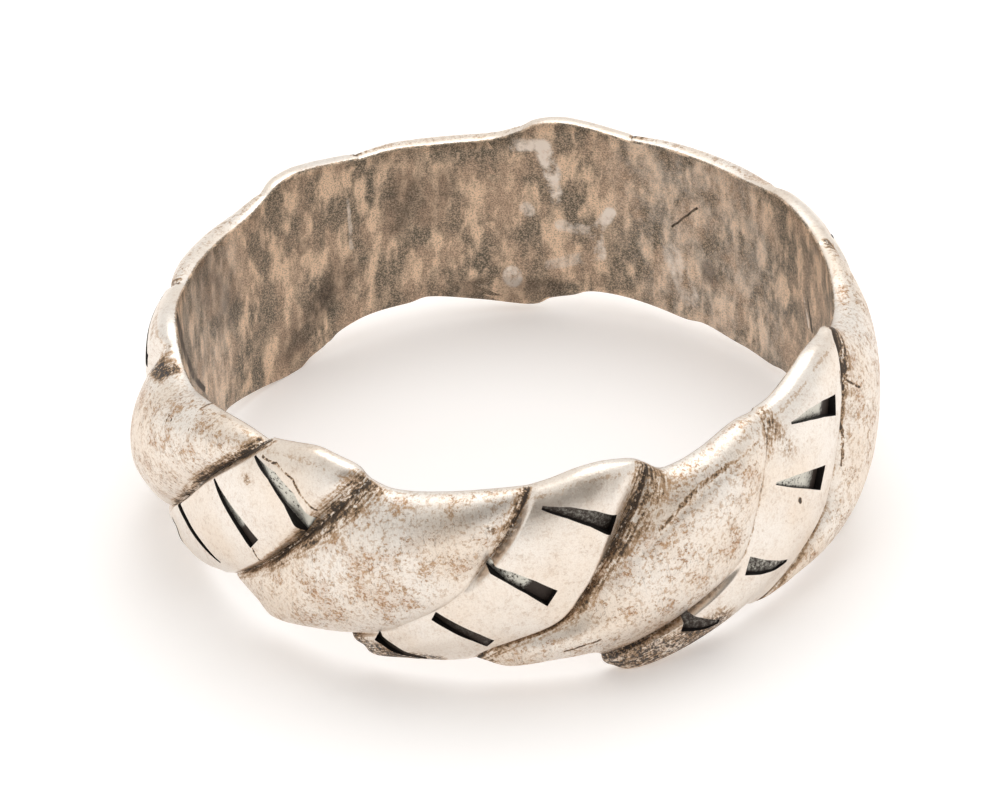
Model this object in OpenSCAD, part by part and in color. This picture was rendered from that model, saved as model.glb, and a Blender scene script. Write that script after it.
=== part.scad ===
// Finger ring: one band of cast silver carved as a twist of leaning strands.
// Smooth, rounded strands lie between flatter ones that carry four graver notches each.
// The ring lies on its side: the finger goes in along Z, and the origin is the middle of its hole.
// Turns are degrees round Z, measured from the front (-Y) towards the right (+X).

/* [Band] */
// Inner diameter, where the finger goes
bore_d = 18; // [16:0.5:22]
// Width of the band along the finger, between the mean rims
band_w = 5.9; // [5:0.1:7.5]
// Wall left at the two thin rims
rim_wall = 0.25; // [0.2:0.05:0.4]
// Wall at the bottom of the grooves between the strands
groove_wall = 0.65; // [0.5:0.05:0.8]

/* [Strands] */
// How many pairs of a notched and a smooth strand go round the band
pairs = 7; // [6:1:8]
// Wall at the crest of a smooth strand
smooth_wall = 1.35; // [1.1:0.05:1.6]
// Wall on the flat of a notched strand
notched_wall = 1.1; // [0.9:0.05:1.25]

/* [Notches] */
// Depth at the wide end of a notch
notch_depth = 0.24; // [0.15:0.01:0.35]

/* [Hidden] */
pitch = 360 / pairs;
bore_r = bore_d / 2;
bore_sides = 96;

// Depth of a notch at its narrow end, and how far its cutter stands out of the skin
tip_depth = 0.06;
notch_reach = 1;

// Straight pieces along a notch, and the power of its flare: below 1 it opens early
notch_pieces = 3;
notch_flare = 0.75;

// Power of the swell from rim to rim: 2 is an ellipse, more is fuller
swell_power = 2.6;

// How much lower a notched strand's flat is at its two sides than in its middle
flat_crown = 0.1;

// Share across a notched strand that its left ledge takes, and where its right side falls
ledge_share = 0.07;
fall_share = 0.93;

// Power that leans a smooth strand's crest to the right, and power that rounds its back
crest_lean = 0.85;
crest_round = 0.55;

// Heights between which the left groove of a strand may fade out, and the right side widens
fade_heights = [0.2, 0.45];
valley_heights = [0.5, 1];

// How far the blank reaches into the finger hole, which then trims it
trim = 1;

// The heights, as shares of the band's width, at which a strand's two edges are placed
EDGE_HEIGHTS = [0, 0.2, 0.35, 0.5, 0.75, 1];

// Turns of the left and right edge at those heights, from the strand's own place in the row,
// in degrees of a ring of seven pairs. The strands differ a little, as they were cut by hand.
EDGES = [
    // left edge                           right edge
    [[-42, -26, -17.8, -10.7, -3.3, 1.7], [-10.5, -4.8, 6.3, 10.3, 15.9, 21]],
    [[-44, -26, -17.4, -13.8, -10.6, -6.8], [-10.5, -1.5, 5.6, 8.5, 12.7, 16.8]],
    [[-42, -26, -20, -13.8, -5.2, 5], [-10.5, -3, 4, 10, 18.6, 26.5]],
    [[-43, -26, -18.5, -12, -5, 0.5], [-10.5, -3.5, 5.5, 9.8, 15.5, 21]]
];

// Shares of a pair, its notched strand first, at which the rims' heights are placed
RIM_SHARES = [0, 0.1, 0.2, 0.3, 0.42, 0.5, 0.6, 0.75, 0.88, 1];

// Height of the upper rim, as shares of the width: it peaks over the notched strand
// and dips where the smooth strand starts
UPPER_RIMS = [
    [0.995, 1.02, 1.055, 1.075, 1.068, 1.035, 0.965, 0.935, 0.97, 0.97],
    [0.98, 0.97, 1, 1.055, 1.09, 1.1, 0.995, 0.95, 0.975, 0.99],
    [1.01, 1.035, 1.06, 1.05, 1.03, 0.985, 0.95, 0.965, 0.985, 0.995],
    [0.99, 1.01, 1.035, 1.05, 1.035, 1, 0.96, 0.965, 0.985, 0.985]
];

// Height of the lower rim: it dips under the notched strand's end
LOWER_RIM = [0.045, 0, -0.055, -0.02, 0.03, 0.015, 0.02, 0.04, 0.055, 0.045];

// How much higher the lower rim sits at some turns, where the band was filed narrower
FILED_TURNS = [
    -180, -170, -149, -130, -118, -100, -84, -77, -70, -64, -57, -51, -45, -38,
    -30, -26, -22, -18, -13, -8, -4, 0, 6, 13, 22, 26, 30, 34,
    40, 45, 52, 58, 64, 70, 77, 84, 98, 128, 139, 148, 167, 180
];
FILED_MORE = [
    0, 0.04, 0.06, -0.035, -0.01, 0, -0.027, -0.03, 0.072, 0.071, 0.071, 0.155, 0.13, 0.05,
    0.071, 0.099, 0.099, 0.113, 0.108, 0.078, 0.055, 0.083, 0.046, 0.047, 0.024, 0.009, -0.006, 0.002,
    0.003, 0.032, 0.013, 0.031, 0.015, 0, -0.008, 0.021, 0, -0.03, 0.045, 0, 0.03, 0
];

// How much higher the upper rim sits at some turns, where the strands' ends stand proud
RAISED_TURNS = [
    -180, -100, -94, -90, -86, -81, -77, -73, -70, -65, -59, -54, -51, -40, -26, -18,
    -12, -5, 5, 9, 13, 17, 21, 26, 30, 34, 38, 42, 46, 50, 60, 180
];
RAISED_MORE = [
    0, 0, 0, 0.033, 0.052, 0.06, 0.048, 0.053, 0.055, 0.045, 0.036, 0.025, 0.023, 0.018, 0.018, 0.026,
    0.015, 0, 0, 0.025, 0.055, 0.07, 0.074, 0.068, 0.08, 0.09, 0.083, 0.06, 0.03, 0, 0, 0
];

// Notches of a strand, from the top one down. Places are a share across the strand,
// then a share of the width; the last three columns are in millimetres.
// narrow end across, its height, wide end across, its height, narrow width, wide width, bow
NOTCHES = [
    [[0.15, 0.96, 0.855, 0.825, 0.1, 0.59, 0.14], [0, 0.68, 0.72, 0.502, 0.21, 0.57, 0.1],
     [0.8, 0.255, 0.05, 0.405, 0.33, 0.32, 0.06], [0.66, 0.12, 0.05, 0.215, 0.12, 0.36, 0.04]],
    [[0.23, 0.948, 0.78, 0.86, 0.06, 0.6, 0.1], [0.14, 0.722, 0.735, 0.566, 0.08, 0.71, 0.03],
     [0.7, 0.258, 0.11, 0.366, 0.1, 0.56, 0.08], [0.48, 0.118, 0.055, 0.184, 0.15, 0.56, 0.03]],
    [[0.06, 1, 0.945, 0.75, 0.07, 0.7, 0.4], [0.07, 0.78, 0.78, 0.556, 0.1, 0.55, 0.05],
     [0.795, 0.305, 0.02, 0.436, 0.08, 0.35, 0.04], [0.72, 0.1, 0.15, 0.21, 0.1, 0.38, 0.04]],
    [[0.15, 0.96, 0.87, 0.815, 0.08, 0.6, 0.15], [0.07, 0.73, 0.75, 0.54, 0.12, 0.6, 0.06],
     [0.78, 0.27, 0.06, 0.4, 0.18, 0.45, 0.05], [0.62, 0.11, 0.1, 0.2, 0.12, 0.44, 0.04]]
];

// Each pair, going to the right from the front: the row of the tables above that it takes,
// the wall of its smooth strand over smooth_wall, how strongly its upper rim swings,
// the share across its notched strand at which the top right falls into the valley,
// and how much of the groove is left at the top of the notched strand's left edge
PAIRS = [
    [0, 0, 1, 0.72, 1],
    [1, 0, 1, 0.88, 0.2],
    [3, 0, 0.4, 0.8, 1],
    [3, 0, 1, 0.75, 1],
    [3, 0, 0.9, 0.75, 1],
    [3, 0.28, 1, 0.8, 1],
    [2, 0, 1, 0.75, 1],
    [3, 0, 1, 0.75, 1]
];

// Shares across a strand at which the surface has its points
NOTCHED_ACROSS = [0, 0.04, 0.08, 0.25, 0.5, 0.72, 0.82, 0.9, 0.96];
SMOOTH_ACROSS = [0, 0.05, 0.12, 0.22, 0.34, 0.48, 0.62, 0.76, 0.88, 0.96];
rows = 22;

// Slope at point i of a row of values
function slope(xs, ys, i) =
    let (a = max(i - 1, 0), b = min(i + 1, len(xs) - 1))
    (ys[b] - ys[a]) / (xs[b] - xs[a]);

// Index of the stretch of a rising row that holds x
function stretch(xs, x, i = 0) =
    i >= len(xs) - 2 || x < xs[i + 1] ? i : stretch(xs, x, i + 1);

// Smooth curve through the points, straight on beyond its ends
function curve(xs, ys, x) =
    let (last = len(xs) - 1)
    x <= xs[0] ? ys[0] + slope(xs, ys, 0) * (x - xs[0]) :
    x >= xs[last] ? ys[last] + slope(xs, ys, last) * (x - xs[last]) :
    let (
        i = stretch(xs, x),
        gap = xs[i + 1] - xs[i],
        t = (x - xs[i]) / gap,
        m0 = slope(xs, ys, i) * gap,
        m1 = slope(xs, ys, i + 1) * gap
    )
    ys[i] * (1 + 2 * t) * pow(1 - t, 2) + m0 * t * pow(1 - t, 2)
    + ys[i + 1] * t * t * (3 - 2 * t) + m1 * t * t * (t - 1);

function ease(from, to, x) =
    let (t = max(0, min(1, (x - from) / (to - from)))) t * t * (3 - 2 * t);

function mix(a, b, t) = a + (b - a) * t;

function unit(v) = v / norm(v);

// Turn of the left (side 0) or right (side 1) edge of the notched strand of a pair
function edge_turn(pair, side, height) =
    let (row = EDGES[PAIRS[pair % pairs][0]][side])
    pitch * pair + curve(EDGE_HEIGHTS, row, height) * pitch / (360 / 7);

// A half of a pair is one strand: the notched one first (0), then the smooth one (1)
function strand_turn(pair, half, across, height) =
    let (
        left = half == 0 ? edge_turn(pair, 0, height) : edge_turn(pair, 1, height),
        right = half == 0 ? edge_turn(pair, 1, height) : edge_turn(pair + 1, 0, height)
    )
    mix(left, right, across);

// Heights of the lower and upper rim over a share of a pair, as shares of the width
function rim_heights(pair, half, across) =
    let (
        share = (half + across) / 2,
        turn = pitch * (pair + share - 0.5),
        front_turn = turn > 180 ? turn - 360 : turn,
        row = UPPER_RIMS[PAIRS[pair][0]],
        upper = curve(RIM_SHARES, row, share)
    )
    [
        curve(RIM_SHARES, LOWER_RIM, share) + curve(FILED_TURNS, FILED_MORE, front_turn),
        mix(1, upper, PAIRS[pair][2]) + curve(RAISED_TURNS, RAISED_MORE, front_turn)
    ];

// The wall swells from the thin rims to the middle of the band
function swell(up) = sqrt(max(0, 1 - pow(abs(2 * up - 1), swell_power)));

// Wall at the bottom of the groove at the left (side 0) or right edge of a notched strand
function groove(pair, side, height) =
    let (left_over = side == 0 ? PAIRS[pair % pairs][4] : 1)
    mix(groove_wall, notched_wall, (1 - left_over) * ease(fade_heights[0], fade_heights[1], height));

// Wall of the notched strand: a flat with a sharp left ledge, easing into a valley at the top right
function notched_section(pair, across, height) =
    let (
        flat = notched_wall - flat_crown * pow(2 * across - 1, 2),
        fall = mix(fall_share, PAIRS[pair][3], ease(valley_heights[0], valley_heights[1], height)),
        edge = groove(pair, across < 0.5 ? 0 : 1, height)
    )
    mix(edge, flat, ease(0, ledge_share, across) * (1 - ease(fall, 1, across)));

// Wall of the smooth strand: one round back between two grooves
function smooth_section(pair, across, height) =
    let (
        crest = smooth_wall + PAIRS[pair][1],
        edge = mix(groove(pair, 1, height), groove(pair + 1, 0, height), across)
    )
    mix(edge, crest, pow(sin(180 * pow(across, crest_lean)), crest_round));

// Point on the outside of a strand
function skin_point(pair, half, across, height) =
    let (
        rims = rim_heights(pair, half, across),
        up = (height - rims[0]) / (rims[1] - rims[0]),
        turn = strand_turn(pair, half, across, height),
        full = half == 0 ? notched_section(pair, across, height) : smooth_section(pair, across, height),
        r = bore_r + mix(rim_wall, full, swell(up))
    )
    [r * sin(turn), -r * cos(turn), (height - 0.5) * band_w];

// Columns of the surface, each as pair, half and share across
COLUMNS = [
    for (pair = [0 : pairs - 1])
        for (half = [0, 1])
            for (across = half == 0 ? NOTCHED_ACROSS : SMOOTH_ACROSS) [pair, half, across]
];

// Rows lie closer together at the round rims
function up_share(row) = (1 - cos(180 * row / rows)) / 2;

// The last two rows run inside the bore, where the finger hole then cuts them away
function ring_point(column, row) =
    let (
        rims = rim_heights(column[0], column[1], column[2]),
        up = row <= rows ? up_share(row) : row == rows + 1 ? 1 : 0,
        point = skin_point(column[0], column[1], column[2], mix(rims[0], rims[1], up)),
        inward = row <= rows ? 1 : (bore_r - trim) / (bore_r + rim_wall)
    )
    [point[0] * inward, point[1] * inward, point[2]];

module blank() {
    around = len(COLUMNS);
    along = rows + 3;
    polyhedron(
        points = [for (column = COLUMNS) for (row = [0 : along - 1]) ring_point(column, row)],
        faces = [
            for (c = [0 : around - 1])
                for (row = [0 : along - 1])
                    let (
                        here = c * along,
                        next = ((c + 1) % around) * along,
                        above = (row + 1) % along
                    )
                    each [[here + row, next + above, next + row], [here + row, here + above, next + above]]
        ],
        convexity = 8
    );
}

// Place on the skin at a share of the way from a notch's narrow end to its wide end
function notch_place(pair, cut, t) =
    skin_point(pair, 0, mix(cut[0], cut[2], t), mix(cut[1], cut[3], t));

// The cutter's section there: two corners of the floor, then two above the skin
function notch_section(pair, cut, t) =
    let (
        place = notch_place(pair, cut, t),
        before = notch_place(pair, cut, max(0, t - 1 / notch_pieces)),
        after = notch_place(pair, cut, min(1, t + 1 / notch_pieces)),
        out = unit([place[0], place[1], 0]),
        side = unit(cross(out, after - before)),
        middle = place + side * cut[6] * 4 * t * (1 - t),
        to_edge = side * mix(cut[4], cut[5], pow(t, notch_flare)) / 2,
        floor_middle = middle - out * mix(tip_depth, notch_depth, t),
        top_middle = middle + out * notch_reach
    )
    [floor_middle - to_edge, floor_middle + to_edge, top_middle + to_edge, top_middle - to_edge];

// A wedge cut that follows the skin, and widens and deepens from its narrow end
module notch(pair, cut) {
    last = 4 * notch_pieces;
    polyhedron(
        points = [for (i = [0 : notch_pieces]) each notch_section(pair, cut, i / notch_pieces)],
        faces = [
            [0, 1, 2, 3],
            [last + 3, last + 2, last + 1, last],
            for (i = [0 : notch_pieces - 1])
                for (corner = [0 : 3])
                    let (
                        here = 4 * i + corner,
                        beside = 4 * i + (corner + 1) % 4
                    )
                    each [[beside, here, here + 4], [beside, here + 4, beside + 4]]
        ]
    );
}

module notches() {
    for (pair = [0 : pairs - 1])
        for (cut = NOTCHES[PAIRS[pair][0]])
            notch(pair, cut);
}

module finger_hole() {
    cylinder(h = 3 * band_w, r = bore_r, center = true, $fn = bore_sides);
}

module band() {
    color("silver")
        difference() {
            blank();
            finger_hole();
            notches();
        }
}

band();
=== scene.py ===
# %% [markdown]
# A carved silver band ring.
#
# This lesson dresses a small band ring that was cast in silver and cut by hand. The packed
# model from the factory gives its size and place, so it is loaded first and never moved.
# Everything here is in metres and in that model's own frame: the finger goes in along Z,
# and the origin is the middle of the finger hole.

# %% Load the packed ring
import math

import bmesh
import bpy
import numpy as np
from mathutils import Matrix, Vector, noise


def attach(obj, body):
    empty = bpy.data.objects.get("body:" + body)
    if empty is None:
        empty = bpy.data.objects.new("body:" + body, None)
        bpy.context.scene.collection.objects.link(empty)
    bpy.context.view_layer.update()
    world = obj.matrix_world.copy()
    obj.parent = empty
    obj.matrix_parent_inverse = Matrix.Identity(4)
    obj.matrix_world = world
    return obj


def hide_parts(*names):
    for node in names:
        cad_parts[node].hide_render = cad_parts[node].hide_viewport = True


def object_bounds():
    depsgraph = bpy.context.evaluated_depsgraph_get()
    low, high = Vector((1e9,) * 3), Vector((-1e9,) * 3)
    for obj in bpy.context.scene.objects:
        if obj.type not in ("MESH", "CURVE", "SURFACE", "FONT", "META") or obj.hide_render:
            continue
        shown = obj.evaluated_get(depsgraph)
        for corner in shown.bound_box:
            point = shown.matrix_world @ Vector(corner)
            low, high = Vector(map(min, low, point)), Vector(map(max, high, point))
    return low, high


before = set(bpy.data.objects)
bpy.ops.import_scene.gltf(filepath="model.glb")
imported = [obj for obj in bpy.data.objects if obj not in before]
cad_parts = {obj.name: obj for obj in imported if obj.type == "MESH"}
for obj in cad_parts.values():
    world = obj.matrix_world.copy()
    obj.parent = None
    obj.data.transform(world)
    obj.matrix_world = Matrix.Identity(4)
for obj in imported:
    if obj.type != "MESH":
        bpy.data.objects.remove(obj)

cad_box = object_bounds()
scene = bpy.context.scene
MM = 0.001
print("nodes:", sorted(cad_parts), "box in mm:",
      [[round(c / MM, 2) for c in corner] for corner in cad_box])

# %% [markdown]
# The sizes of the band.
#
# A ring is easiest to describe as a strip: how far round a place is, in degrees from the
# front towards the right, and how high up the band, as a share of its width. The sizes below are
# those of the packed model, in millimetres. The new surface is worked out in millimetres
# too, because such small shapes lose nothing that way, and it turns into metres at the end.

# %% Sizes of the band, in millimetres
BORE_R = 9.0
BAND_W = 5.9
RIM_WALL = 0.25
GROOVE_WALL = 0.65
SMOOTH_WALL = 1.35
NOTCHED_WALL = 1.1
FLAT_CROWN = 0.1
SWELL_POWER = 2.6
PAIRS = 7
PITCH = 360 / PAIRS
print("band:", 2 * BORE_R, "mm inside,", BAND_W, "mm wide,", PAIRS, "pairs of strands")

# %% [markdown]
# Where the strands run.
#
# The band looks like a twist of strands that lean to the right: a smooth round one, then a
# flatter one with four notches, seven times round. A maker lays such a pattern out by
# marking where each edge crosses a few heights of the band, then joins the marks by eye.
# The tables do the same, and one smooth curve through the marks plays the maker's eye.

# %% Marks for the strands' edges and for the rims
EDGE_HEIGHTS = [0, 0.2, 0.35, 0.5, 0.75, 1]
EDGES = [
    # left edge                           right edge
    [[-42, -26, -17.8, -10.7, -3.3, 1.7], [-10.5, -4.8, 6.3, 10.3, 15.9, 21]],
    [[-44, -26, -17.4, -13.8, -10.6, -6.8], [-10.5, -1.5, 5.6, 8.5, 12.7, 16.8]],
    [[-42, -26, -20, -13.8, -5.2, 5], [-10.5, -3, 4, 10, 18.6, 26.5]],
    [[-43, -26, -18.5, -12, -5, 0.5], [-10.5, -3.5, 5.5, 9.8, 15.5, 21]],
]
RIM_SHARES = [0, 0.1, 0.2, 0.3, 0.42, 0.5, 0.6, 0.75, 0.88, 1]
UPPER_RIMS = [
    [0.995, 1.02, 1.055, 1.075, 1.068, 1.035, 0.965, 0.935, 0.97, 0.97],
    [0.98, 0.97, 1, 1.055, 1.09, 1.1, 0.995, 0.95, 0.975, 0.99],
    [1.01, 1.035, 1.06, 1.05, 1.03, 0.985, 0.95, 0.965, 0.985, 0.995],
    [0.99, 1.01, 1.035, 1.05, 1.035, 1, 0.96, 0.965, 0.985, 0.985],
]
LOWER_RIM = [0.045, 0, -0.055, -0.02, 0.03, 0.015, 0.02, 0.04, 0.055, 0.045]
FILED_TURNS = [
    -180, -170, -149, -130, -118, -100, -84, -77, -70, -64, -57, -51, -45, -38,
    -30, -26, -22, -18, -13, -8, -4, 0, 6, 13, 22, 26, 30, 34,
    40, 45, 52, 58, 64, 70, 77, 84, 98, 128, 139, 148, 167, 180,
]
FILED_MORE = [
    0, 0.04, 0.06, -0.035, -0.01, 0, -0.027, -0.03, 0.072, 0.071, 0.071, 0.155, 0.13, 0.05,
    0.071, 0.099, 0.099, 0.113, 0.108, 0.078, 0.055, 0.083, 0.046, 0.047, 0.024, 0.009, -0.006,
    0.002, 0.003, 0.032, 0.013, 0.031, 0.015, 0, -0.008, 0.021, 0, -0.03, 0.045, 0, 0.03, 0,
]
RAISED_TURNS = [
    -180, -100, -94, -90, -86, -81, -77, -73, -70, -65, -59, -54, -51, -40, -26, -18,
    -12, -5, 5, 9, 13, 17, 21, 26, 30, 34, 38, 42, 46, 50, 60, 180,
]
RAISED_MORE = [
    0, 0, 0, 0.033, 0.052, 0.06, 0.048, 0.053, 0.055, 0.045, 0.036, 0.025, 0.023, 0.018,
    0.018, 0.026, 0.015, 0, 0, 0.025, 0.055, 0.07, 0.074, 0.068, 0.08, 0.09, 0.083, 0.06,
    0.03, 0, 0, 0,
]

# Each pair, from the front to the right: the tables' row it takes, what its smooth strand
# has over the usual wall, how strongly its upper rim swings, where its top right falls
# away, and how much of the groove on its left is left at the top and half way down.
PAIR_ROWS = [
    (0, 0, 1, 0.72, 1, 0.2),
    (1, 0, 1, 0.88, 0.2, 1),
    (3, 0, 0.4, 0.8, 1, 1),
    (3, 0, 1, 0.75, 1, 1),
    (3, 0, 0.9, 0.75, 1, 1),
    (3, 0.28, 1, 0.8, 1, 1),
    (2, 0, 1, 0.75, 1, 1),
]
KIND, EXTRA_WALL, SWING, FALL, TOP_GROOVE, LOW_GROOVE = range(6)


def curve(xs, ys, x):
    """A smooth curve through marks, straight on beyond the first and the last."""
    xs, ys = np.array(xs, float), np.array(ys, float)
    slopes = np.gradient(ys, xs) * 0
    slopes[1:-1] = (ys[2:] - ys[:-2]) / (xs[2:] - xs[:-2])
    slopes[0] = (ys[1] - ys[0]) / (xs[1] - xs[0])
    slopes[-1] = (ys[-1] - ys[-2]) / (xs[-1] - xs[-2])
    x = np.asarray(x, float)
    held = np.clip(x, xs[0], xs[-1])
    i = np.clip(np.searchsorted(xs, held, side="right") - 1, 0, len(xs) - 2)
    gap = xs[i + 1] - xs[i]
    t = (held - xs[i]) / gap
    inside = (
        ys[i] * (1 + 2 * t) * (1 - t) ** 2
        + slopes[i] * gap * t * (1 - t) ** 2
        + ys[i + 1] * t * t * (3 - 2 * t)
        + slopes[i + 1] * gap * t * t * (t - 1)
    )
    return inside + np.where(x < held, slopes[0], slopes[-1]) * (x - held)


def ease(start, end, x):
    """Goes from 0 to 1 between start and end, slowly at both."""
    t = np.clip((x - start) / (end - start), 0, 1)
    return t * t * (3 - 2 * t)


def mix(a, b, t):
    return a + (b - a) * t


def edge_turn(pair, side, height):
    row = EDGES[PAIR_ROWS[pair % PAIRS][KIND]][side]
    return PITCH * pair + curve(EDGE_HEIGHTS, row, height)


def strand_turn(pair, half, across, height):
    """Turn in degrees of a place on a strand. Half 0 is notched, half 1 is smooth."""
    if half == 0:
        left, right = edge_turn(pair, 0, height), edge_turn(pair, 1, height)
    else:
        left, right = edge_turn(pair, 1, height), edge_turn(pair + 1, 0, height)
    return mix(left, right, across)


def rim_heights(pair, half, across):
    """Heights of the lower and the upper rim, as shares of the band's width."""
    share = (half + across) / 2
    turn = PITCH * (pair + share - 0.5)
    front_turn = np.where(turn > 180, turn - 360, turn)
    row, swing = PAIR_ROWS[pair][KIND], PAIR_ROWS[pair][SWING]
    lower = curve(RIM_SHARES, LOWER_RIM, share) + curve(FILED_TURNS, FILED_MORE, front_turn)
    upper = mix(1, curve(RIM_SHARES, UPPER_RIMS[row], share), swing)
    upper = upper + curve(RAISED_TURNS, RAISED_MORE, front_turn)
    return lower, upper


print("front strand's left edge, half way up:", round(float(edge_turn(0, 0, 0.5)), 1), "degrees")

# %% [markdown]
# How thick the wall is.
#
# Seen from the side of the band, the wall swells from thin rims to a full middle. Along the
# band it goes up and down: a notched strand is a flat with a sharp ledge on its left, a
# smooth strand is one round back, and the groove between them is the lowest place. Two of
# the grooves are partly worn away, one at its top and one half way down.

# %% The wall over a strand
FADE_HEIGHTS = (0.2, 0.45)
WORN_FROM, WORN_TO = (0.15, 0.3), (0.52, 0.7)
VALLEY_HEIGHTS = (0.5, 1)
FALL_BELOW = 0.93
LEDGE_SHARE = 0.07
CREST_LEAN = 0.85
CREST_ROUND = 0.55


def swell(up):
    return np.sqrt(np.maximum(0, 1 - np.abs(2 * up - 1) ** SWELL_POWER))


def groove_wall(pair, side, height):
    if side == 1:
        return np.full(np.shape(height), GROOVE_WALL)
    row = PAIR_ROWS[pair % PAIRS]
    filled = (1 - row[TOP_GROOVE]) * ease(*FADE_HEIGHTS, height)
    half_way = ease(*WORN_FROM, height) * (1 - ease(*WORN_TO, height))
    return mix(GROOVE_WALL, NOTCHED_WALL, filled + (1 - row[LOW_GROOVE]) * half_way)


def notched_wall(pair, across, height):
    flat = NOTCHED_WALL - FLAT_CROWN * (2 * across - 1) ** 2
    fall = mix(FALL_BELOW, PAIR_ROWS[pair][FALL], ease(*VALLEY_HEIGHTS, height))
    edge = np.where(across < 0.5, groove_wall(pair, 0, height), groove_wall(pair, 1, height))
    return mix(edge, flat, ease(0, LEDGE_SHARE, across) * (1 - ease(fall, 1, across)))


def smooth_wall(pair, across, height):
    crest = SMOOTH_WALL + PAIR_ROWS[pair][EXTRA_WALL]
    edge = mix(groove_wall(pair, 1, height), groove_wall(pair + 1, 0, height), across)
    arch = np.sin(np.pi * np.clip(across, 0, 1) ** CREST_LEAN)
    return mix(edge, crest, np.maximum(arch, 0) ** CREST_ROUND)


def skin_r(pair, half, across, height, up):
    wall = notched_wall if half == 0 else smooth_wall
    return BORE_R + mix(RIM_WALL, wall(pair, across, height), swell(up))


def skin_point(pair, half, across, height):
    """A place on the outside of a strand, in millimetres."""
    lower, upper = rim_heights(pair, half, across)
    r = skin_r(pair, half, across, height, (height - lower) / (upper - lower))
    turn = math.radians(strand_turn(pair, half, across, height))
    return Vector((r * math.sin(turn), -r * math.cos(turn), (height - 0.5) * BAND_W))


print("wall at a crest:", round(float(smooth_wall(0, 0.45, 0.5)), 2), "mm")

# %% [markdown]
# The blank of the band.
#
# A real band starts as a plain hoop. Here it is a circle of points, stood up as the wall's
# section and spun round the finger hole, which makes one closed ring of four-sided faces.
# Each point remembers its row in the section, so that the next step knows where it belongs.
# More columns lie near the strands' edges, where the surface turns most sharply.

# %% Spin the blank
NOTCHED_COLUMNS = 52
SMOOTH_COLUMNS = 64
OUTER_ROWS = 90
CORNER_ROWS = 4
INNER_ROWS = 13
section_rows = OUTER_ROWS + 1 + 2 * CORNER_ROWS + INNER_ROWS - 1
columns_per_pair = NOTCHED_COLUMNS + SMOOTH_COLUMNS
columns = PAIRS * columns_per_pair

band = bmesh.new()
row_layer = band.verts.layers.int.new("row")
section = bmesh.ops.create_circle(band, cap_ends=False, segments=section_rows, radius=1)
for row, vert in enumerate(section["verts"]):
    vert[row_layer] = row
bmesh.ops.rotate(band, verts=band.verts[:], matrix=Matrix.Rotation(math.pi / 2, 3, "X"))
bmesh.ops.translate(band, verts=band.verts[:], vec=(BORE_R, 0, 0))
bmesh.ops.spin(
    band, geom=band.verts[:] + band.edges[:], angle=-2 * math.pi / PAIRS,
    steps=columns_per_pair, axis=(0, 0, 1), cent=(0, 0, 0), use_merge=False,
)
one_pair = band.verts[:] + band.edges[:] + band.faces[:]
for pair in range(1, PAIRS):
    copy = bmesh.ops.duplicate(band, geom=one_pair)["geom"]
    bmesh.ops.rotate(
        band, verts=[v for v in copy if isinstance(v, bmesh.types.BMVert)],
        matrix=Matrix.Rotation(2 * math.pi * pair / PAIRS, 3, "Z"), cent=(0, 0, 0),
    )
bmesh.ops.remove_doubles(band, verts=band.verts[:], dist=0.001)
print("blank:", len(band.verts), "points,", len(band.faces), "faces")

# %% [markdown]
# Laying the blank on the strands.
#
# Every point now moves to its own place. Its column says which strand it is on and how far
# across, and its row says how high it is: up the outside, over the upper rim, down inside
# the finger hole and round the lower rim. The rims' inner corners are rounded, as wear
# leaves them, and a little slow noise keeps the surface from looking turned on a lathe.

# %% Move every point to its place
CORNER_R = 0.1
SKIN_UNEVEN = 0.016
BORE_UNEVEN = 0.012


def spread(count, crowd):
    """Shares from 0 up to but not at 1, closer together at both ends."""
    t = np.arange(count) / count
    return t - crowd * np.sin(2 * np.pi * t) / (2 * np.pi)


across_table = np.concatenate([spread(NOTCHED_COLUMNS, 0.5), spread(SMOOTH_COLUMNS, 0.45)])
half_table = np.repeat([0, 1], [NOTCHED_COLUMNS, SMOOTH_COLUMNS])


def corner_rows(count):
    """A quarter of a circle in shares: how far inwards, and how far from the rim."""
    angle = (np.arange(count) + 1) / (count + 1) * np.pi / 2
    return np.sin(angle), 1 - np.cos(angle)


# Each row of the section: its kind (0 outside, 1 upper corner, 2 inside, 3 lower corner)
# and two shares that place it.
t = np.arange(OUTER_ROWS + 1) / OUTER_ROWS
outer_up = mix(t, (1 - np.cos(np.pi * t)) / 2, 0.85)
corner_in, corner_down = corner_rows(CORNER_ROWS)
inner_up = 1 - (np.arange(INNER_ROWS - 1) + 0.5) / (INNER_ROWS - 1)
row_kind = np.concatenate([
    np.zeros(OUTER_ROWS + 1), np.full(CORNER_ROWS, 1), np.full(INNER_ROWS - 1, 2),
    np.full(CORNER_ROWS, 3),
]).astype(int)
row_a = np.concatenate([outer_up, corner_in, inner_up, corner_in[::-1]])
row_b = np.concatenate([outer_up * 0, corner_down, inner_up * 0, corner_down[::-1]])
print(len(row_kind), "rows for", section_rows)

band.verts.index_update()
band.verts.ensure_lookup_table()
start = np.array([v.co[:] for v in band.verts])
vert_row = np.array([v[row_layer] for v in band.verts])
turned = np.degrees(np.arctan2(start[:, 0], -start[:, 1])) % 360
vert_column = np.round(turned / 360 * columns).astype(int) % columns
vert_pair = vert_column // columns_per_pair
vert_half = half_table[vert_column % columns_per_pair]
vert_across = across_table[vert_column % columns_per_pair]
vert_height = np.zeros(len(start))
vert_turn = np.zeros(len(start))
vert_r = np.zeros(len(start))

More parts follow.
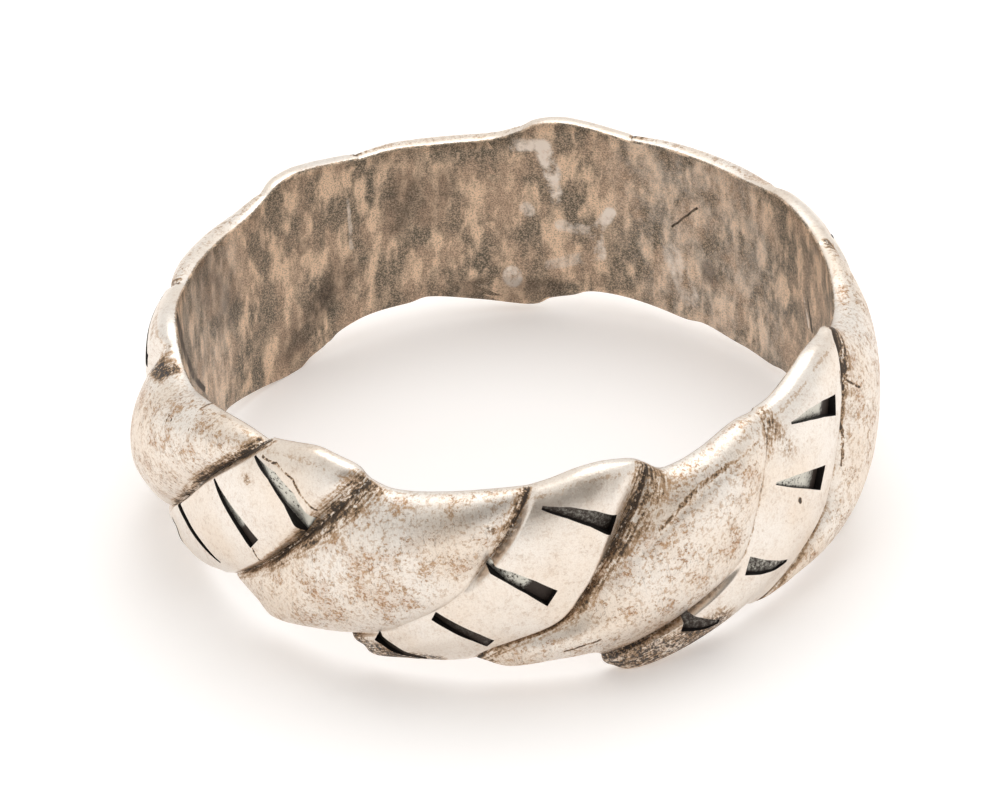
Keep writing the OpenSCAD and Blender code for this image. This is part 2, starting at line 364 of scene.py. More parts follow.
for pair in range(PAIRS):
    for half in (0, 1):
        here = np.nonzero((vert_pair == pair) & (vert_half == half))[0]
        across, kind = vert_across[here], row_kind[vert_row[here]]
        a, b = row_a[vert_row[here]], row_b[vert_row[here]]
        lower, upper = rim_heights(pair, half, across)
        corner = CORNER_R / BAND_W
        up = np.select([kind == 0, kind == 1, kind == 2], [a, 1.0, a], 0.0)
        height = mix(lower, upper, up)
        height = np.where(kind == 1, upper - corner * b, height)
        height = np.where(kind == 3, lower + corner * b, height)
        height = np.where(kind == 2, mix(lower + corner, upper - corner, a), height)
        r = np.where(
            kind == 0, skin_r(pair, half, across, height, np.where(kind == 0, a, 0.5)), BORE_R
        )
        r = np.where((kind == 1) | (kind == 3), BORE_R + RIM_WALL * 0.6 * (1 - a), r)
        vert_height[here] = height
        vert_turn[here] = strand_turn(pair, half, across, height)
        vert_r[here] = r

outside = row_kind[vert_row] == 0
print("columns:", columns, "rows:", section_rows)

# %% [markdown]
# Where tarnish and painted shade gather.
#
# Tarnish, and at the tops of the front strand's grooves painted shade with it, is painted on
# the points as attributes, before any cut divides the faces, so that new points take it over
# from their neighbours. In a groove it is darkest at the bottom, and spreads further on one
# side than on the other. The table gives how dark each edge of each kind of strand is at a
# few heights, and how far it spreads to its left and right.

# %% Tarnish and painted shade in the grooves
TARNISH_HEIGHTS = [0, 0.2, 0.4, 0.6, 0.8, 1]
EDGE_TARNISH_AND_SHADE = [
    # how dark, spread to the left and to the right in mm, at those heights
    # The front kind's edges are darkest at the top: there it is painted shade as well as
    # tarnish, the ledge's shadow on the left and the shaded valley on the right.
    [([0.6, 0.35, 0.08, 0.15, 0.95, 1], [0.3, 0.25, 0.2, 0.25, 0.35, 0.4],
      [0.15, 0.1, 0.06, 0.06, 0.1, 0.1]),
     ([0.9, 0.75, 0.75, 0.85, 1, 1], [0.3, 0.2, 0.2, 0.25, 0.4, 0.5],
      [0.8, 0.5, 0.4, 0.45, 0.6, 0.7])],
    [([0.9, 0.8, 0.8, 0.6, 0.3, 0.5], [0.35, 0.3, 0.12, 0.12, 0.2, 0.3],
      [0.3, 0.12, 0.08, 0.1, 0.25, 0.4]),
     ([0.75, 0.7, 0.7, 1, 1.1, 1.1], [0.15, 0.1, 0.08, 0.1, 0.1, 0.1],
      [0.6, 0.45, 0.25, 0.16, 0.22, 0.6])],
    [([0.5, 0.5, 0.7, 1, 1.1, 1.2], [0.2, 0.2, 0.22, 0.32, 0.42, 0.5],
      [0.08, 0.08, 0.08, 0.1, 0.14, 0.2]),
     ([0.55, 0.5, 0.75, 0.9, 1, 1], [0.15, 0.15, 0.25, 0.4, 0.6, 0.8],
      [0.4, 0.4, 0.5, 0.6, 0.75, 0.9])],
    [([0.5, 0.5, 0.6, 0.8, 0.9, 1], [0.25, 0.25, 0.25, 0.3, 0.4, 0.5],
      [0.1, 0.1, 0.08, 0.08, 0.1, 0.12]),
     ([0.6, 0.6, 0.7, 0.7, 0.5, 0.4], [0.15, 0.15, 0.2, 0.25, 0.25, 0.25],
      [0.5, 0.45, 0.4, 0.45, 0.6, 0.7])],
]
LEAN_SHARE = 0.7


def edge_tarnish_and_shade(pair, side, height, away, onto):
    """How dark it is at a distance in mm from an edge, to its left (0) or right (1)."""
    darks, *spreads = EDGE_TARNISH_AND_SHADE[PAIR_ROWS[pair % PAIRS][KIND]][side]
    reach = np.interp(height, TARNISH_HEIGHTS, spreads[onto])
    return np.interp(height, TARNISH_HEIGHTS, darks) * (1 - ease(0, 1, away / reach))


groove_dark = np.zeros(len(start))
smooth_share = np.zeros(len(start))
for pair in range(PAIRS):
    for half in (0, 1):
        here = np.nonzero((vert_pair == pair) & (vert_half == half) & outside)[0]
        across, height = vert_across[here], vert_height[here]
        left = (pair, 0) if half == 0 else (pair, 1)
        right = (pair, 1) if half == 0 else (pair + 1, 0)
        wide = np.radians(edge_turn(*right, height) - edge_turn(*left, height))
        wide = wide * vert_r[here] * LEAN_SHARE
        groove_dark[here] = np.maximum(
            edge_tarnish_and_shade(*left, height, across * wide, 1),
            edge_tarnish_and_shade(*right, height, (1 - across) * wide, 0),
        )
        if half == 1:
            smooth_share[here] = ease(0, 0.12, across) * (1 - ease(0.88, 1, across))
print("points in a groove:", int((groove_dark > 0.3).sum()))

# %% [markdown]
# Single marks.
#
# No two places of an old ring are alike. A dark pit on the left strand, a crease down the
# right one and a few more are placed one by one, each as a short line on the strip with a
# width, how dark it is and how deep it dents the metal. A few of them are painted shade as
# well as stain: in the valley right of the front strand's top and along the band's lowest
# edge at the right front.

# %% Stains, painted shade, dents and creases
MARKS = [
    # turn and height at both ends, width in mm, how dark, how deep in mm
    (-83, 0.89, -80, 0.925, 0.34, 0.8, 0.04),
    (-80, 0.925, -77.5, 0.945, 0.4, 1.1, 0.06),
    (-91, 1.0, -88, 0.96, 0.3, 0.4, 0),
    (-4.6, 0.88, -3.8, 0.86, 0.16, 0.8, 0.02),
    (44.6, 0.98, 45, 0.86, 0.5, 0.3, 0.03),
    (46, 0.97, 47.5, 0.84, 0.6, 0.5, 0),
    (41, 0.97, 31.5, 0.893, 0.14, 0.08, 0.02),
    (31.5, 0.893, 25, 0.816, 0.16, 0.1, 0.03),
    (25, 0.816, 17, 0.64, 0.16, 0.08, 0.02),
    # Painted shade in the valley right of the front strand's top, with the tarnish there.
    (24.5, 0.95, 20.5, 0.78, 0.5, 0.4, 0),
    (-20, 0.1, -12, 0.16, 0.5, 0.25, 0),
    (-5, 0.09, 6, 0.12, 0.5, 0.3, 0),
    # Tarnish along the band's lowest edge at the right front, darkest at the very bottom, where
    # it is also painted shade of the underside.
    (13, 0.05, 32, 0.12, 0.9, 0.8, 0),
    (15, 0.01, 32, 0.04, 0.5, 1.1, 0),
    (-46, 0.895, -45.6, 0.885, 0.3, 0.6, 0),
    (-95, 0.93, -99, 0.925, 0.5, 0.3, 0),
    (64.5, 0.5, 66, 0.75, 0.5, 0.3, 0),
    (66, 0.75, 69, 0.95, 0.8, 0.42, 0),
    (-31, 0.12, -23, 0.115, 0.6, 1.1, 0),
    (-24, 0.12, -15, 0.12, 0.5, 1, 0),
    (6, 1.02, 8.5, 1.01, 0.4, 0.3, 0),
]
vert_stain_and_shade = np.zeros(len(start))
for turn_0, high_0, turn_1, high_1, width, dark, deep in MARKS:
    around = (vert_turn + 180) % 360 - 180
    px = np.radians(around - turn_0) * vert_r
    py = (vert_height - high_0) * BAND_W
    ex, ey = math.radians(turn_1 - turn_0) * 10, (high_1 - high_0) * BAND_W
    t = np.clip((px * ex + py * ey) / (ex * ex + ey * ey), 0, 1)
    away = np.hypot(px - t * ex, py - t * ey) / width
    near = np.where(outside, 1 - ease(0, 1, away), 0)
    vert_stain_and_shade = np.maximum(vert_stain_and_shade, dark * near)
    vert_r -= deep * near
print("points in a mark:", int((vert_stain_and_shade > 0.3).sum()))

# %% Set the points, with a little unevenness
RIM_LINE_UP, RIM_LINE_W = 0.968, 0.012
radians = np.radians(vert_turn)
vert_z = (vert_height - 0.5) * BAND_W
for i in range(len(start)):
    x, y = math.sin(radians[i]), -math.cos(radians[i])
    spot = Vector((BORE_R * x, BORE_R * y, vert_z[i]))
    if outside[i]:
        amount = min(1, (vert_r[i] - BORE_R - RIM_WALL) * 3 + 0.2)
        rough = SKIN_UNEVEN * amount * (noise.noise(spot * 0.9) + 0.5 * noise.noise(spot * 2.3))
    else:
        rough = BORE_UNEVEN * noise.noise(spot * 0.8)
    r = vert_r[i] + rough
    band.verts[i].co = (r * x, r * y, vert_z[i])
bmesh.ops.recalc_face_normals(band, faces=band.faces[:])
in_share, kinds = row_a[vert_row], row_kind[vert_row]
lining_share = np.select([kinds == 2, kinds == 0], [1, 0], ease(0.2, 1.1, in_share))
rim_share = np.where(kinds == 0, np.exp(-((in_share - RIM_LINE_UP) / RIM_LINE_W) ** 2), 0)
for name, values in {
    "groove": groove_dark, "smooth": smooth_share, "stain_and_shade": vert_stain_and_shade,
    "bore": lining_share, "rim_line": rim_share,
}.items():
    layer = band.verts.layers.float.new(name)
    for vert, value in zip(band.verts, values):
        vert[layer] = float(value)
print("volume of the blank:", round(band.calc_volume(), 1), "mm3")

# %% [markdown]
# The strip as a map.
#
# Fine marks need to know where they are on the band. One map gives each corner its distance
# round the band and its height on it, in millimetres, with the inside laid 20 mm higher.
# A second map follows the strands instead: across them and along them, so that the streaks
# of a polishing cloth can run the way the grooves do.

# %% Map the strip and the strands
MAP_R = 10.0
BORE_MAP = 20.0
LANE_W, LANE_L = 2.6, 8.4
FIRST_LANE_PAIR = 4


def joined(values, whole):
    """Values round a circle, without the jump where it closes."""
    low, high = min(values), max(values)
    return [v + whole if high - low > whole / 2 and v < whole / 2 + low else v for v in values]


map_turn = np.radians((vert_turn + 180) % 360).tolist()
map_lane = (2 * ((vert_pair - FIRST_LANE_PAIR) % PAIRS) + vert_half + vert_across).tolist()
map_height = vert_height.tolist()
map_inner = (row_kind[vert_row] == 2).tolist()
strip_map = band.loops.layers.uv.new("strip")
lane_map = band.loops.layers.uv.new("lanes")
for face in band.faces:
    spots = [v.index for v in face.verts]
    turns = joined([map_turn[i] for i in spots], 2 * math.pi)
    lanes = joined([map_lane[i] for i in spots], 2 * PAIRS)
    lift = BORE_MAP * any(map_inner[i] for i in spots)
    for loop, i, turn, lane in zip(face.loops, spots, turns, lanes):
        loop[strip_map].uv = ((turn - math.pi) * MAP_R, map_height[i] * BAND_W + lift)
        loop[lane_map].uv = (lane * LANE_W, map_height[i] * LANE_L)
print("the strip is", round(2 * math.pi * MAP_R, 1), "mm long")

# %% [markdown]
# The notches.
#
# An engraver cuts each notch with a graver: it goes in narrow, and gets wider and deeper as
# it is pushed across the strand. The table gives where each one starts and ends, and how far
# it bows to one side, as in the packed model. Its outline is scored into the surface with
# straight cuts, and the faces inside are pushed down as one, which leaves sharp edges and
# steep walls.

# %% Where the notches are
TIP_DEPTH = 0.06
NOTCH_DEPTH = 0.24
NOTCH_PIECES = 3
NOTCH_FLARE = 0.75
NOTCHES = [
    # across and height at the narrow end, then at the wide end, the widths of both and the bow
    # in mm, how bright the bare metal of the floor is, from which share of it on it is dark,
    # and how deep the notch is beside the usual one
    [(0.15, 0.96, 0.855, 0.825, 0.1, 0.59, 0.14, 0.25, 1.2, 1),
     (0, 0.68, 0.72, 0.502, 0.21, 0.57, 0.1, 0.9, 0.62, 1),
     (0.8, 0.255, 0.05, 0.405, 0.33, 0.32, 0.06, 0.15, 1.2, 1),
     (0.66, 0.12, 0.05, 0.215, 0.12, 0.36, 0.04, 0.1, 1.2, 1)],
    [(0.23, 0.948, 0.78, 0.86, 0.06, 0.6, 0.1, 1.2, 0.72, 0.9),
     (0.14, 0.722, 0.735, 0.566, 0.08, 0.71, 0.03, 1.2, 0.82, 0.9),
     (0.7, 0.258, 0.11, 0.366, 0.1, 0.56, 0.08, 0.5, 0.9, 1),
     (0.48, 0.118, 0.055, 0.184, 0.15, 0.56, 0.03, 0.25, 1.2, 1)],
    [(0.06, 1, 0.945, 0.75, 0.07, 0.7, 0.4, 1.4, 1.2, 0.5),
     (0.07, 0.78, 0.78, 0.556, 0.1, 0.55, 0.05, 1.1, 0.7, 0.6),
     (0.795, 0.305, 0.02, 0.436, 0.08, 0.35, 0.04, 0.05, 1.2, 1),
     (0.72, 0.1, 0.15, 0.21, 0.1, 0.38, 0.04, 1.6, 1.2, 0.35)],
    [(0.15, 0.96, 0.87, 0.815, 0.08, 0.6, 0.15, 0.9, 0.8, 1),
     (0.07, 0.73, 0.75, 0.54, 0.12, 0.6, 0.06, 0.8, 0.7, 1),
     (0.78, 0.27, 0.06, 0.4, 0.18, 0.45, 0.05, 0.3, 1, 1),
     (0.62, 0.11, 0.1, 0.2, 0.12, 0.44, 0.04, 0.2, 1, 1)],
]
SCORE_MARGIN = 0.16
LEAST_SINK = 0.004
EDGE_GLEAM = 0.4
DARK_EASE = 0.08


def notch_rails(pair, cut):
    """Stations along a notch's mouth: its left and right side, the way ahead and outwards,
    and how far from the axis its floor lies."""
    shares = np.linspace(0, 1, NOTCH_PIECES + 1)
    across, high, across_2, high_2, narrow, broad, bow, _, _, deep = cut
    middles = [
        skin_point(pair, 0, mix(across, across_2, t), mix(high, high_2, t)) for t in shares
    ]
    rails = []
    for i, t in enumerate(shares):
        path = middles[min(i + 1, NOTCH_PIECES)] - middles[max(i - 1, 0)]
        flat = Vector((middles[i].x, middles[i].y, 0))
        out = flat.normalized()
        side = out.cross(path).normalized()
        middle = middles[i] + side * float(bow * 4 * t * (1 - t))
        half = side * float(mix(narrow, broad, t ** NOTCH_FLARE) / 2)
        floor_r = flat.length - float(mix(TIP_DEPTH, NOTCH_DEPTH * deep, t))
        rails.append((middle - half, middle + half, side.cross(out), out, floor_r))
    return rails


cuts = [(pair, cut) for pair in range(PAIRS) for cut in NOTCHES[PAIR_ROWS[pair][KIND]]]
print(len(cuts), "notches")

# %% Give every notch its plot of faces
centres = np.array([f.calc_center_median()[:] for f in band.faces])
on_skin = np.array([all(outside[v.index] for v in f.verts) for f in band.faces])
nearest, plot_of = np.full(len(centres), SCORE_MARGIN), np.full(len(centres), -1)


def away_from(rails, spots):
    """How far in mm each spot lies outside the straight pieces of a notch."""
    least = np.full(len(spots), np.inf)
    for (left, right, ahead, _, _), (left_2, right_2, ahead_2, _, _) in zip(rails, rails[1:]):
        start, end = (left + right) / 2, (left_2 + right_2) / 2
        path = np.array(end - start)
        length = np.linalg.norm(path)
        share = np.clip((spots - np.array(start)) @ path / length ** 2, 0, 1)
        from_path = np.linalg.norm(spots - np.array(start) - share[:, None] * path, axis=1)
        half = mix((right - left).length, (right_2 - left_2).length, share) / 2
        least = np.minimum(least, from_path - half)
    return least


for number, (pair, cut) in enumerate(cuts):
    away = away_from(notch_rails(pair, cut), centres)
    won = on_skin & (away < nearest)
    nearest[won], plot_of[won] = away[won], number
plot_layer = band.faces.layers.int.new("plot")
for face, number in zip(band.faces, plot_of):
    face[plot_layer] = int(number)
print((plot_of >= 0).sum(), "faces lie in a plot")

# %% Score each outline and sink the floor inside it
cut_layer = band.faces.layers.float.new("cut")
floor_layer = band.faces.layers.float.new("floor")
bare_layer = band.verts.layers.float.new("bare")


def with_edges(faces):
    return list({part for f in faces for part in (f, *f.edges, *f.verts)})


def faces_of(parts):
    return [part for part in parts if isinstance(part, bmesh.types.BMFace)]


def score(parts, point, normal):
    """Cuts faces along a plane and gives all the parts back."""
    return bmesh.ops.bisect_plane(
        band, geom=parts, dist=0.003, plane_co=point, plane_no=normal,
    )["geom"]


def share_between(spot, here, there):
    """0 at the station here, 1 at the station there."""
    past = (spot - (here[0] + here[1]) / 2).dot(here[2])
    left_over = ((there[0] + there[1]) / 2 - spot).dot(there[2])
    return past / (past + left_over) if past + left_over else 0


def cut_notch(rails, plot, cut):
    """Scores the outline of a notch and sinks the faces inside it."""
    bright, dark_from = cut[7:9]
    for left, _, ahead, _, _ in rails:
        plot = score(plot, left, ahead)
    region = []
    for here, there in zip(rails, rails[1:]):
        out = here[3] + there[3]
        left_side = (there[0] - here[0]).cross(out)
        right_side = out.cross(there[1] - here[1])
        slab = [
            f for f in faces_of(plot)
            if 0 < share_between(f.calc_center_median(), here, there) < 1
        ]
        parts = score(score(with_edges(slab), here[0], left_side), here[1], right_side)
        for face in faces_of(parts):
            spot = face.calc_center_median()
            if (spot - here[0]).dot(left_side) < 0 and (spot - here[1]).dot(right_side) < 0:
                region.append(face)
    sunk = bmesh.ops.extrude_face_region(band, geom=with_edges(region))["geom"]
    for face in faces_of(sunk):
        face[floor_layer] = 1
        face[cut_layer] = 1
    for vert in (part for part in sunk if isinstance(part, bmesh.types.BMVert)):
        shares = [share_between(vert.co, *pair) for pair in zip(rails, rails[1:])]
        piece = next((i for i, t in enumerate(shares) if t <= 1), NOTCH_PIECES - 1)
        t = min(1, max(0, shares[piece]))
        r = vert.co.xy.length
        new_r = min(r - LEAST_SINK, mix(rails[piece][4], rails[piece + 1][4], t))
        vert.co.xy *= new_r / r
        walls = [f for f in vert.link_faces if not f[floor_layer]]
        for wall in walls:
            wall[cut_layer] = 1
        along = (piece + t) / NOTCH_PIECES
        light = bright * (1 - ease(dark_from - DARK_EASE, dark_from + DARK_EASE, along))
        vert[bare_layer] = float(light) * (EDGE_GLEAM if walls else 1)
    return len(region)


plots = [[] for _ in cuts]
for face in band.faces:
    if face[plot_layer] >= 0:
        plots[face[plot_layer]].append(face)
for plot, (pair, cut) in zip(plots, cuts):
    sunk_faces = cut_notch(notch_rails(pair, cut), with_edges(plot), cut)
print("the last notch sank", sunk_faces, "faces")

# %% Keep the notches' edges sharp
sharp = 0
for edge in band.edges:
    kinds = {(f[cut_layer], f[floor_layer]) for f in edge.link_faces}
    edge.smooth = len(kinds) == 1
    sharp += not edge.smooth
for face in band.faces:
    face.smooth = True
print(sharp, "sharp edges,", sum(len(f.verts) - 2 for f in band.faces), "triangles")

# %% Turn the millimetres into metres and make the piece
bmesh.ops.scale(band, vec=(MM, MM, MM), verts=band.verts[:])
band_mesh = bpy.data.meshes.new("carved_band")
band.to_mesh(band_mesh)
band.free()
carved_band = bpy.data.objects.new("carved_band", band_mesh)
scene.collection.objects.link(carved_band)
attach(carved_band, "root")
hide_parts("band")
print("piece:", carved_band.name, len(band_mesh.polygons), "faces")

# %% [markdown]
# Sums on sockets.
#
# A material is a web of small sums. Written out as nodes they are long to read, so a small
# class wraps a socket and lets Python's own signs make the Math nodes: 1 - groove is one
# Subtract node. Every other node comes from its one method, new, which takes the node's
# type, its settings and what goes into its sockets.

# %% A wire that can be reckoned with
class Wire:
    """A socket of a node tree, for sums and for making the next node."""

    def __init__(self, tree, socket=None):
        self.tree, self.socket = tree, socket

    def new(self, kind, settings=None, values=None, output=0):
        node = self.tree.nodes.new("ShaderNode" + kind)
        for name, value in (settings or {}).items():
            setattr(node, name, value)
        for name, value in (values or {}).items():
            if isinstance(value, Wire):
                self.tree.links.new(value.socket, node.inputs[name])
            else:
                node.inputs[name].default_value = value
        return Wire(self.tree, node.outputs[output])

    def math(self, operation, *values):
        return self.new("Math", {"operation": operation}, dict(enumerate(values)))

    def __add__(self, other):
        return self.math("ADD", self, other)

    def __sub__(self, other):
        return self.math("SUBTRACT", self, other)

    def __rsub__(self, other):
        return self.math("SUBTRACT", other, self)

    def __mul__(self, other):
        return self.math("MULTIPLY", self, other)

    __radd__, __rmul__ = __add__, __mul__

    def rise(self, low, high):
        """From 0 at low to 1 at high, softly."""
        return self.new("MapRange", {"interpolation_type": "SMOOTHSTEP"},
                        {"Value": self, "From Min": low, "From Max": high})

    def held(self):
        """Kept between 0 and 1."""
        return self.new("Clamp", None, {"Value": self})

    def tint(self, low, high):
        """The colour low where this is 0 and high where it is 1."""
        low, high = (c if isinstance(c, Wire) else (*c, 1) for c in (low, high))
        return self.new("Mix", {"data_type": "RGBA"}, {0: self, 6: low, 7: high}, 2)

    def grain(self, scale, detail=2, rough=0.5):
        """Noise over this place; the scale is in waves for each unit of length."""
        return self.new("TexNoise", None, {
            "Vector": self, "Scale": scale, "Detail": detail, "Roughness": rough,
        })

    def drawn(self, turn, long, short):
        """This place, so that noise over it is drawn out long in the direction turn."""
        return self.new("Mapping", {"vector_type": "TEXTURE"}, {
            "Vector": self, "Rotation": (0, 0, math.radians(turn)), "Scale": (long, short, 1),
        })

    def vector(self, operation, other, output=0):
        return self.new("VectorMath", {"operation": operation}, {0: self, 1: other}, output)

    def near_line(self, start, end, width):
        """1 on the line from start to end, going down to 0 at the width."""
        ahead = Vector(end) - Vector(start)
        rel = self.vector("SUBTRACT", (*start, 0))
        step = ahead / ahead.length_squared
        share = rel.vector("DOT_PRODUCT", (*step, 0), "Value").held()
        onto = self.new("VectorMath", {"operation": "SCALE"}, {0: (*ahead, 0), "Scale": share})
        away = rel.vector("DISTANCE", onto, "Value")
        return 1 - away.rise(width * 0.4, width)


print("a wire can", [name for name in vars(Wire) if not name.startswith("__")])

# %% [markdown]
# Worn silver.
#
# Clean silver is nearly white. Years of wear leave it warm and satin, with fine tan specks
# on the smooth strands, which were never scraped, and cleaner flats on the notched ones.
# Tarnish stays where a cloth can't reach: brown in the grooves and almost black in the
# notches. Some of that brown is painted shade as well: at the tops of the front strand's
# grooves and along the band's lowest edge. The attributes painted above say where, and noise
# breaks up their edges.

# %% Noise of the right sizes
silver = bpy.data.materials.new("worn_silver")
silver.use_nodes = True
blank_wire = Wire(silver.node_tree)
place = blank_wire.new("TexCoord", output="Object")
strip = blank_wire.new("UVMap", {"uv_map": "strip"})
lanes = blank_wire.new("UVMap", {"uv_map": "lanes"})


def painted(name):
    return blank_wire.new("Attribute", {"attribute_name": name}, output="Fac")


groove, smooth, stain_and_shade = painted("groove"), painted("smooth"), painted("stain_and_shade")
rim_line = painted("rim_line")
bore, bare = painted("bore"), painted("bare")
cut_face, floor = painted("cut"), painted("floor")

clouds = place.grain(420, 2)
blotches = place.grain(1300, 3, 0.6)
flecks = place.grain(7500, 4, 0.75)
crumbs = place.grain(11500, 3, 0.7)
dust = place.grain(24000, 2, 0.6)
waves = place.grain(4600, 2, 0.6) - 0.5
veins = 1 - waves.math("ABSOLUTE", waves).rise(0.008, 0.03)
veins = veins * (flecks + blotches * 0.7).rise(0.86, 0.98)
fibres = lanes.drawn(90, 0.6, 0.06).grain(1, 3, 0.6)
lane = lanes.new("SeparateXYZ", None, {"Vector": lanes}) * (1 / LANE_W)
lane = lane + (crumbs - 0.5) * 0.12
to_seam = lane.math("PINGPONG", lane, 0.5)
seam = 1 - to_seam.rise(0.004, 0.018)
hatch = strip.drawn(98, 0.6, 0.045).grain(1, 2).rise(0.6, 0.68)
hatch_2 = strip.drawn(62, 0.45, 0.04).grain(1, 2).rise(0.62, 0.7)
print(len(silver.node_tree.nodes), "nodes for the noise")

# %% [markdown]
# Single scratches.
#
# Thin scratches and creases are too fine for the points, so the material draws them: each is
# a line on the strip, and it is dark where the strip is near that line. The strip is first
# shaken a little by noise, which makes the lines waver as real ones do.

# %% Draw the scratches
SCRATCHES = [
    # turn and height at both ends, width in mm, how dark (below 0 it is a light mark)
    (-60.6, 0.976, -60.1, 0.952, 0.035, 0.9),
    (-62.1, 1.012, -61.6, 1.005, 0.05, 0.8),
    (-66.8, 0.925, -66.5, 0.928, 0.05, 0.9),
    (-65.4, 0.93, -65.3, 0.925, 0.04, 0.8),
    (-66.5, 0.907, -66.4, 0.906, 0.04, 0.8),
    (-43.5, 1.017, -40.2, 1.022, 0.045, 0.7),
    (-40.2, 1.022, -36.5, 0.981, 0.045, 0.7),
    (-36.5, 0.981, -35.1, 0.928, 0.05, 0.8),
    (-35.1, 0.928, -32.5, 0.854, 0.045, 0.7),
    (-45.3, 0.526, -44.0, 0.451, 0.04, 0.8),
    (41.7, 0.972, 34.7, 0.943, 0.06, 0.35),
    (34.7, 0.943, 29.0, 0.898, 0.08, 0.6),
    (29.0, 0.898, 25.3, 0.844, 0.09, 0.7),
    (25.3, 0.844, 21.5, 0.767, 0.07, 0.45),
    (64.5, 0.966, 63.6, 0.867, 0.06, 0.7),
    (63.6, 0.867, 63.9, 0.659, 0.07, 0.9),
    (63.9, 0.659, 62.2, 0.5, 0.07, 0.9),
    (67.4, 0.865, 70.2, 0.784, 0.045, 0.8),
    (5.9, 0.204, 11.2, 0.25, 0.05, 0.9),
    (48.6, 0.56, 48.8, 0.548, 0.1, 0.8),
]
BORE_MARKS = [
    (146.6, 0.55, 140.9, 0.706, 0.05, 1),
    (176.5, 0.92, 171.5, 0.915, 0.3, -0.8),
    (171.2, 0.90, 169.8, 0.749, 0.42, -1),
    (169.8, 0.749, 169.3, 0.623, 0.32, -0.9),
    (175, 0.56, 174.5, 0.54, 0.3, -0.7),
    (178.3, 0.17, 178.2, 0.15, 0.42, -1.1),
    (162.6, 0.417, 159.1, 0.557, 0.3, -0.7),
    (168.8, 0.461, 162, 0.43, 0.28, -0.55),
    (162, 0.43, 161.5, 0.304, 0.3, -0.75),
    (161.5, 0.304, 171, 0.225, 0.28, -0.5),
    (146.9, 0.385, 143.3, 0.17, 0.62, -0.6),
    (138.5, 0.36, 138.4, 0.34, 0.5, 0.5),
    (-140.7, 0.63, -140.8, 0.61, 0.3, 0.7),
    (-111, 0.95, -119, 0.6, 1.2, 0.4),
    (-149.5, 0.38, -136, 0.1, 0.8, 0.5),
    (-163, 0.76, -160, 0.58, 0.8, 0.4),
    (-170, 0.74, -167, 0.6, 0.7, 0.35),
    (-179, 0.09, -171, 0.1, 0.6, 0.45),
    (171, 0.07, 179, 0.09, 0.6, 0.45),
    (-151.4, 0.778, -151.4, 0.5, 0.1, -0.5),
    (-105, 0.2, -110, 0.8, 4, -0.32),
    (135, 0.2, 140, 0.8, 5, -0.36),
    # These three draw a dark line down from the left rim's inner edge, widest at the top.
    (-89, 1.05, -93.5, 0.84, 0.42, 1.4),
    (-93.5, 0.84, -101.1, 0.5, 0.2, 1.4),
    (-101.1, 0.5, -106.8, 0.32, 0.14, 1.2),
    (110.2, 0.565, 108.6, 0.44, 0.1, -1.5),
    (108.7, 0.574, 107.1, 0.44, 0.1, 1.2),
]
shaken = place.new("TexNoise", None, {"Vector": place, "Scale": 2600, "Detail": 3}, "Color")
wavering = strip.vector("ADD", shaken.vector("SUBTRACT", (0.5, 0.5, 0.5)).vector(
    "MULTIPLY", (0.12, 0.12, 0)))


def strip_spot(turn, height, lift=0):
    return math.radians(turn) * MAP_R, height * BAND_W + lift


def drawn_marks(table, lift):
    """The dark and the light marks of a table, each as one wire."""
    sums = {True: None, False: None}
    for turn_0, high_0, turn_1, high_1, width, strength in table:
        ends = strip_spot(turn_0, high_0, lift), strip_spot(turn_1, high_1, lift)
        mark = wavering.near_line(*ends, width) * abs(strength)
        so_far = sums[strength > 0]
        sums[strength > 0] = mark if so_far is None else mark.math("MAXIMUM", mark, so_far)
    return sums[True], sums[False]


scratch, _ = drawn_marks(SCRATCHES, 0)
bore_dark, bore_light = drawn_marks(BORE_MARKS, BORE_MAP)
print(len(SCRATCHES) + len(BORE_MARKS), "marks drawn")

# %% [markdown]
# The colours lie over each other like glazes: first warm and bright clouds, then the specks
# and fine wandering lines, then the tarnish and painted shade from tan to brown as they grow
# stronger, and last the grey specks of the pits.

# %% The silver's colour
BRIGHT, WARM, DUSTY = (0.885, 0.825, 0.755), (0.85, 0.745, 0.635), (0.60, 0.49, 0.40)
TAN, OLIVE = (0.48, 0.305, 0.17), (0.24, 0.155, 0.085)
BROWN, SOOT = (0.06, 0.042, 0.03), (0.012, 0.009, 0.008)
RUST, RUST_BROWN, PIT_GREY = (0.55, 0.31, 0.16), (0.25, 0.12, 0.055), (0.075, 0.068, 0.066)
GRAVER_GREY, CUT_DARK = (0.62, 0.60, 0.53), (0.045, 0.03, 0.022)

density = blotches.rise(0.38, 0.6) * 0.5 + 0.5
mottle = density * (smooth * 0.62 + 0.22)
skin = clouds.rise(0.35, 0.7).tint(BRIGHT, WARM)
skin = (blotches.rise(0.45, 0.62) * (smooth * 0.2 + 0.1)).tint(skin, DUSTY)
skin = (dust.rise(0.4, 0.7) * 0.25).tint(skin, DUSTY)
skin = (flecks.rise(0.52, 0.58) * mottle).tint(skin, TAN)
skin = (blotches.rise(0.56, 0.66) * crumbs.rise(0.45, 0.6) * smooth * 0.6).tint(skin, RUST)
skin = (crumbs.rise(0.57, 0.64) * mottle * 0.6).tint(skin, OLIVE)
skin = (veins * mottle * 0.75).tint(skin, RUST_BROWN)
skin = (hatch.math("MAXIMUM", hatch, hatch_2) * mottle * 0.3).tint(skin, BROWN)
rim_dashes = (rim_line * 0.9 + (blotches - 0.5) * 2 + (crumbs - 0.5) * 3).rise(0.8, 1.2)
skin = (rim_dashes * 0.6).tint(skin, TAN)

